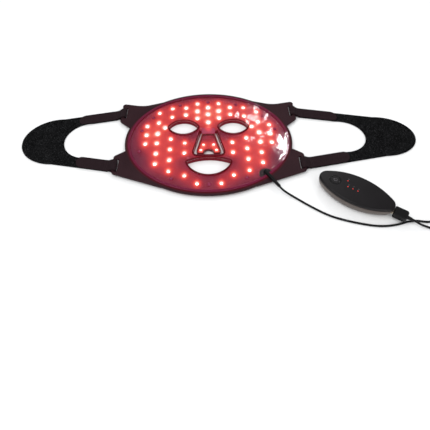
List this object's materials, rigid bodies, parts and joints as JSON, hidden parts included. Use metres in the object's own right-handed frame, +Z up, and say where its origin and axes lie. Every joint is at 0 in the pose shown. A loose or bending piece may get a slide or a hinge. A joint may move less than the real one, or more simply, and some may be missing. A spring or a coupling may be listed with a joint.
{
  "type": "led face mask",
  "caption": "Flat flexible light therapy face mask with clear cover, nose flap, loop pad straps, hook tabs and a corded oval controller.",
  "frame": {"origin": "flat underside of the mask, at the bridge of the nose between the eyes", "axes": "+X to the side where the cable leaves, +Y to the forehead, +Z up from the table, on the LED side"},
  "size_m": [0.5642, 0.2707, 0.0174],
  "materials": {
    "silicone": "satin grey silicone",
    "clear_cover": "clear glossy silicone",
    "reflector": "satin white film",
    "flex": "white solder mask",
    "led": "clear epoxy",
    "terminal": "moulded black",
    "wire": "insulated wire",
    "cable": "black jacket",
    "plug": "moulded black",
    "metal": "stamped metal",
    "gold": "gold plated",
    "felt": "loop pile",
    "ribbon": "woven ribbon",
    "case_top": "fine satin",
    "case_bottom": "satin metallic paint",
    "gasket": "matte black",
    "board": "green solder mask",
    "chip": "moulded black",
    "foil": "laminated foil",
    "indicator": "red lens"
  },
  "bodies": {
    "mask": {"back_shell": "silicone", "face_cover": "clear_cover", "reflector_sheet": "reflector", "flex_circuit": "flex", "led_forehead": "led", "led_left_cheek": "led", "led_right_cheek": "led", "led_chin": "led", "skin_spacers": "clear_cover", "cable_terminal": "terminal", "lead_wires": "wire", "strain_relief": "cable", "cable_lead": "cable", "cable_coil": "cable", "cable_tail": "cable", "plug_boot": "plug", "plug_body": "plug", "plug_contact_shell": "metal", "plug_contacts": "gold"},
    "nose_flap": {"nose_shell": "silicone", "nose_cover": "clear_cover", "nose_flex": "flex", "nose_leds": "led"},
    "controller": {"controller_bottom_shell": "case_bottom", "controller_gasket": "gasket", "controller_top_shell": "case_top", "controller_board": "board", "board_components": "chip", "battery_cell": "foil", "tact_switch": "chip", "button_ring": "case_top", "indicator_lenses": "indicator", "usb_socket": "metal", "socket_tongue": "chip", "board_screws": "metal"},
    "power_button": {"power_button": "case_top"},
    "left_strap": {"left_pad": "felt", "left_upper_loop": "ribbon", "left_lower_loop": "ribbon"},
    "left_upper_tab_body": {"left_upper_tab": "ribbon"},
    "left_lower_tab_body": {"left_lower_tab": "ribbon"},
    "right_strap": {"right_pad": "felt", "right_upper_loop": "ribbon", "right_lower_loop": "ribbon"},
    "right_upper_tab_body": {"right_upper_tab": "ribbon"},
    "right_lower_tab_body": {"right_lower_tab": "ribbon"}
  },
  "joints": [
    {"name": "left_strap_swing", "type": "hinge", "parent": "mask", "child": "left_strap", "pos_m": [-0.126, -0.018, 0.00425], "axis": [0, 1, 0], "range_deg": [0, 90]},
    {"name": "left_upper_tab_peel", "type": "hinge", "parent": "left_strap", "child": "left_upper_tab_body", "pos_m": [-0.1406, 0.03023, 0.00305], "axis": [-0.1867, 0.9824, 0], "range_deg": [0, 90]},
    {"name": "left_lower_tab_peel", "type": "hinge", "parent": "left_strap", "child": "left_lower_tab_body", "pos_m": [-0.1406, -0.06623, 0.00305], "axis": [0.1867, 0.9824, 0], "range_deg": [0, 90]},
    {"name": "right_strap_swing", "type": "hinge", "parent": "mask", "child": "right_strap", "pos_m": [0.126, -0.018, 0.00425], "axis": [0, -1, 0], "range_deg": [0, 90]},
    {"name": "right_upper_tab_peel", "type": "hinge", "parent": "right_strap", "child": "right_upper_tab_body", "pos_m": [0.1406, 0.03023, 0.00305], "axis": [-0.1867, -0.9824, 0], "range_deg": [0, 90]},
    {"name": "right_lower_tab_peel", "type": "hinge", "parent": "right_strap", "child": "right_lower_tab_body", "pos_m": [0.1406, -0.06623, 0.00305], "axis": [0.1867, -0.9824, 0], "range_deg": [0, 90]},
    {"name": "nose_flap_bend", "type": "hinge", "parent": "mask", "child": "nose_flap", "pos_m": [0, -0.01, 0.00375], "axis": [-1, 0, 0], "range_deg": [-30, 30], "stiffness_Nm_per_rad": 0.05},
    {"name": "controller_unplug", "type": "slide", "parent": "mask", "child": "controller", "axis": [-0.829, 0.5592, 0], "range_m": [0, 0.014]},
    {"name": "power_button_press", "type": "slide", "parent": "controller", "child": "power_button", "axis": [0, 0, -1], "range_m": [0, 0.0006], "stiffness_N_per_m": 1500}
  ]
}
